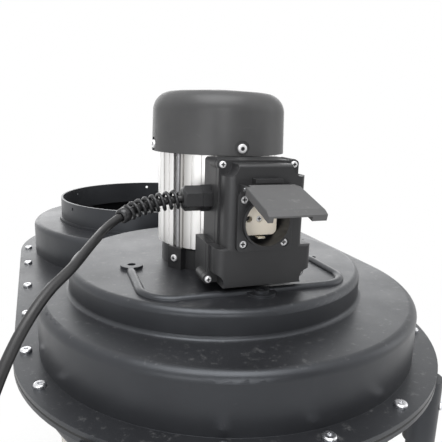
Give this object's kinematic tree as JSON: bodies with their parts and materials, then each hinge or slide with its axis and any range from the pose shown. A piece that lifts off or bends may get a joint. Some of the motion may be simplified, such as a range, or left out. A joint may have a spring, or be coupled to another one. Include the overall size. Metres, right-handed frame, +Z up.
{
  "type": "chip extractor",
  "caption": "Workshop chip extractor: fan scroll with an upright motor and switched socket, round separating chamber with an open filter collar, chip bag and wheeled stand.",
  "frame": {"origin": "on the floor under the middle of the base plate", "axes": "+Z up, +Y from the fan and motor towards the separating chamber, so the switch box faces -Y and +X is to its right"},
  "size_m": [0.656, 0.8845, 0.94],
  "materials": {
    "moulded_plastic": "moulded satin",
    "cover_plastic": "fine grained",
    "box_plastic": "satin",
    "seal_rubber": "foam",
    "zinc_screw": "zinc plated",
    "plate_steel": "plain",
    "cast_aluminium": "brushed",
    "lamination": "plain",
    "winding_copper": "varnished",
    "shield_paint": "black paint",
    "bearing_steel": "ground",
    "impeller_steel": "grey paint",
    "capacitor_can": "satin",
    "relay_board": "satin",
    "insert_cream": "satin",
    "contact_brass": "nickel plated",
    "lead_rubber": "satin",
    "stand_paint": "powder coat",
    "castor_zinc": "zinc plated",
    "wheel_rubber": "matt",
    "bag_cloth": "woven"
  },
  "bodies": {
    "machine": {"housing_top": "moulded_plastic", "housing_bottom": "moulded_plastic", "inlet_pipe": "moulded_plastic", "bag_collar": "moulded_plastic", "housing_seal": "seal_rubber", "flange_screws": "zinc_screw", "flange_nuts": "zinc_screw", "motor_plate": "plate_steel", "motor_screws": "zinc_screw", "stator_housing": "cast_aluminium", "stator_core": "lamination", "windings": "winding_copper", "lower_shield": "shield_paint", "upper_shield": "shield_paint", "lower_bearing": "bearing_steel", "upper_bearing": "bearing_steel", "through_bolts": "zinc_screw", "fan_cover": "cover_plastic", "fan_cover_screws": "zinc_screw", "box_base": "box_plastic", "box_seal": "seal_rubber", "box_cover": "box_plastic", "box_cover_screws": "zinc_screw", "run_capacitor": "capacitor_can", "relay_board": "relay_board", "socket_frame": "box_plastic", "socket_insert": "insert_cream", "socket_contacts": "contact_brass", "socket_screws": "zinc_screw", "lid_hinge_pin": "zinc_screw", "gland_body": "box_plastic", "gland_nut": "box_plastic", "bend_guard": "box_plastic", "cord_free": "lead_rubber", "cord_coil": "lead_rubber", "plug_body": "lead_rubber", "plug_pins": "contact_brass", "legs": "stand_paint", "leg_screws": "zinc_screw", "foot_bolts": "zinc_screw", "base_plate": "stand_paint", "castor_bolts": "zinc_screw", "swivel_plates": "castor_zinc", "fixed_forks": "castor_zinc", "fixed_axles": "zinc_screw", "chip_bag": "bag_cloth", "bag_strap": "plate_steel"},
    "rotor": {"rotor_shaft": "bearing_steel", "rotor_core": "lamination", "cooling_fan": "cover_plastic", "impeller": "impeller_steel", "impeller_nut": "zinc_screw"},
    "lid": {"socket_lid": "box_plastic"},
    "lever": {"strap_lever": "plate_steel"},
    "left_castor": {"left_fork": "castor_zinc"},
    "right_castor": {"right_fork": "castor_zinc"},
    "front_left_wheel": {"wheel_front_left": "wheel_rubber"},
    "front_right_wheel": {"wheel_front_right": "wheel_rubber"},
    "rear_left_wheel": {"wheel_rear_left": "wheel_rubber"},
    "rear_right_wheel": {"wheel_rear_right": "wheel_rubber"}
  },
  "joints": [
    {"name": "rotor_spin", "type": "hinge", "parent": "machine", "child": "rotor", "pos_m": [-0.01, -0.167, 0.8], "axis": [0, 0, 1], "continuous": true},
    {"name": "lid_hinge", "type": "hinge", "parent": "machine", "child": "lid", "pos_m": [-0.0084, -0.3, 0.8594], "axis": [-1, 0, 0], "range_deg": [-74, 26]},
    {"name": "lever_hinge", "type": "hinge", "parent": "machine", "child": "lever", "pos_m": [-0.16924, 0.2359, 0.567], "axis": [0, 0, 1], "range_deg": [0, 110]},
    {"name": "left_swivel", "type": "hinge", "parent": "machine", "child": "left_castor", "pos_m": [-0.198, -0.378, 0.058], "axis": [0, 0, 1], "continuous": true},
    {"name": "right_swivel", "type": "hinge", "parent": "machine", "child": "right_castor", "pos_m": [0.198, -0.378, 0.058], "axis": [0, 0, 1], "continuous": true},
    {"name": "front_left_spin", "type": "hinge", "parent": "left_castor", "child": "front_left_wheel", "pos_m": [-0.198, -0.36, 0.025], "axis": [1, 0, 0], "continuous": true},
    {"name": "front_right_spin", "type": "hinge", "parent": "right_castor", "child": "front_right_wheel", "pos_m": [0.198, -0.36, 0.025], "axis": [1, 0, 0], "continuous": true},
    {"name": "rear_left_spin", "type": "hinge", "parent": "machine", "child": "rear_left_wheel", "pos_m": [-0.198, 0.378, 0.025], "axis": [1, 0, 0], "continuous": true},
    {"name": "rear_right_spin", "type": "hinge", "parent": "machine", "child": "rear_right_wheel", "pos_m": [0.198, 0.378, 0.025], "axis": [1, 0, 0], "continuous": true}
  ]
}
